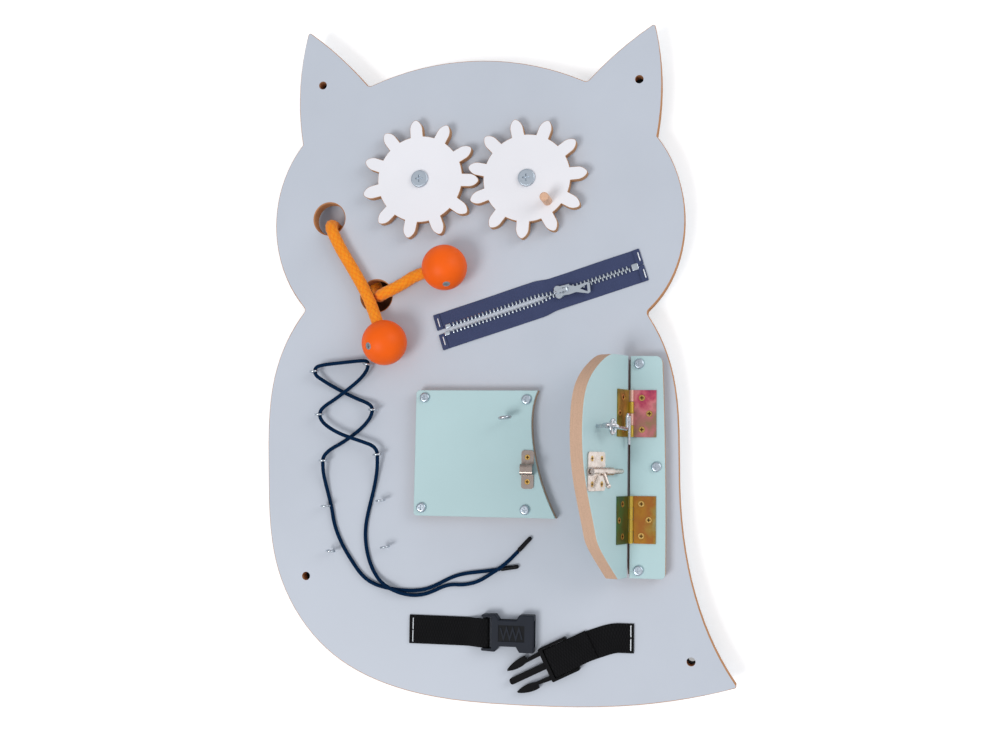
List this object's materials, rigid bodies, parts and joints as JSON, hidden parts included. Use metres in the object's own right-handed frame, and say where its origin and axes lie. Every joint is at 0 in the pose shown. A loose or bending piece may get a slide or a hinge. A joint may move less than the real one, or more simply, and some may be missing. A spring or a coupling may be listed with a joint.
{
  "type": "activity board",
  "caption": "Owl-shaped activity board with meshed gears, rope and balls, zip, lacing, a hinged wing with hook and bolt, and a buckled strap.",
  "frame": {"origin": "middle of the outline, on the plane of the stand-offs' back faces", "axes": "+X to the board's right as seen from the front, +Y towards the ears, +Z out of the painted face"},
  "size_m": [0.42, 0.6039, 0.118],
  "materials": {
    "board_paint": "painted fibreboard, satin",
    "brass": "bright",
    "gear_white": "white laminate, satin",
    "hinge_gold": "chromate passivated",
    "hinge_green": "chromate passivated",
    "hinge_olive": "chromate passivated",
    "hinge_red": "chromate passivated",
    "lace": "round woven cord",
    "lace_tip": "plain",
    "mint": "painted fibreboard, satin",
    "nickel": "nickel plated, bright",
    "orange_ball": "lacquered wood, satin",
    "plug_plastic": "moulded",
    "rope": "braided cord",
    "socket_plastic": "moulded",
    "spacer_rubber": "moulded",
    "tape": "woven tape",
    "webbing": "woven webbing",
    "wood_peg": "plain beech",
    "zinc": "zinc plated"
  },
  "bodies": {
    "board": {"board_panel": "board_paint", "spacer_upper_left": "spacer_rubber", "spacer_upper_right": "spacer_rubber", "spacer_lower_left": "spacer_rubber", "spacer_lower_right": "spacer_rubber", "gear_axle_left": "zinc", "gear_axle_right": "zinc", "gear_washers": "zinc", "gear_nuts": "zinc", "pull_rope": "rope", "ball_lower": "orange_ball", "ball_upper": "orange_ball", "ball_screw_lower": "zinc", "ball_screw_upper": "zinc", "zip_tape_upper": "tape", "zip_tape_lower": "tape", "zip_teeth_upper": "zinc", "zip_teeth_lower": "zinc", "zip_top_stops": "zinc", "zip_bottom_box": "zinc", "zip_staples": "zinc", "lacing_eyes": "zinc", "lacing_cord": "lace", "lace_tip_lower": "lace_tip", "lace_tip_upper": "lace_tip", "square_plate": "mint", "plate_bolts": "zinc", "plate_nuts": "zinc", "hinge_strip": "mint", "strip_bolts": "zinc", "strip_nuts": "zinc", "upper_hinge_fixed_leaf": "hinge_red", "upper_hinge_pin": "zinc", "lower_hinge_fixed_leaf": "hinge_gold", "lower_hinge_pin": "zinc", "strip_hinge_screws": "brass", "bolt_keeper": "nickel", "keeper_screws": "brass", "hook_receiver_eye": "zinc", "strap_left_end": "webbing", "strap_right_end": "webbing", "strap_staples": "zinc"},
    "gear_right": {"gear_right": "gear_white", "gear_peg": "wood_peg"},
    "gear_left": {"gear_left": "gear_white"},
    "wing": {"wing_flap": "mint", "upper_hinge_moving_leaf": "hinge_olive", "lower_hinge_moving_leaf": "hinge_green", "wing_hinge_screws": "brass", "bolt_housing": "nickel", "bolt_screws": "brass", "hook_eye": "zinc"},
    "hook": {"cabin_hook": "zinc"},
    "bolt": {"bolt_rod": "nickel"},
    "slider": {"zip_slider": "zinc"},
    "puller": {"zip_puller": "zinc"},
    "left_strap": {"strap_left": "webbing", "buckle_female": "socket_plastic"},
    "right_strap": {"strap_right": "webbing", "buckle_male": "plug_plastic"}
  },
  "joints": [
    {"name": "gear_right_spin", "type": "hinge", "parent": "board", "child": "gear_right", "pos_m": [0.0275, 0.1557, 0.034], "axis": [0, 0, 1], "continuous": true},
    {"name": "gear_left_spin", "type": "hinge", "parent": "board", "child": "gear_left", "pos_m": [-0.0697, 0.1578, 0.034], "axis": [0, 0, 1], "continuous": true},
    {"name": "wing_swing", "type": "hinge", "parent": "board", "child": "wing", "pos_m": [0.1213, -0.096, 0.0422], "axis": [0, 1, 0], "range_deg": [-69, 81]},
    {"name": "hook_swing", "type": "hinge", "parent": "wing", "child": "hook", "pos_m": [0.10995, -0.0632, 0.10051], "axis": [0, -1, 0], "range_deg": [0, 179]},
    {"name": "bolt_slide", "type": "slide", "parent": "wing", "child": "bolt", "axis": [-0.3584, 0, 0.9336], "range_m": [0, 0.0185]},
    {"name": "zip_run", "type": "slide", "parent": "board", "child": "slider", "axis": [0.9523, 0.3051, 0], "range_m": [-0.0995, 0.055]},
    {"name": "puller_tip", "type": "hinge", "parent": "slider", "child": "puller", "pos_m": [0.05912, 0.05602, 0.03365], "axis": [0.1004, -0.9949, 0], "range_deg": [0, 170]},
    {"name": "left_strap_lift", "type": "hinge", "parent": "board", "child": "left_strap", "pos_m": [-0.0676, -0.2416, 0.02975], "axis": [0, -1, 0], "range_deg": [0, 60]},
    {"name": "right_strap_lift", "type": "hinge", "parent": "board", "child": "right_strap", "pos_m": [0.1164, -0.2419, 0.02975], "axis": [0, 1, 0], "range_deg": [0, 60]}
  ],
  "couplings": [
    {"joint": "gear_left_spin", "follows": "gear_right_spin", "ratio": -1}
  ]
}
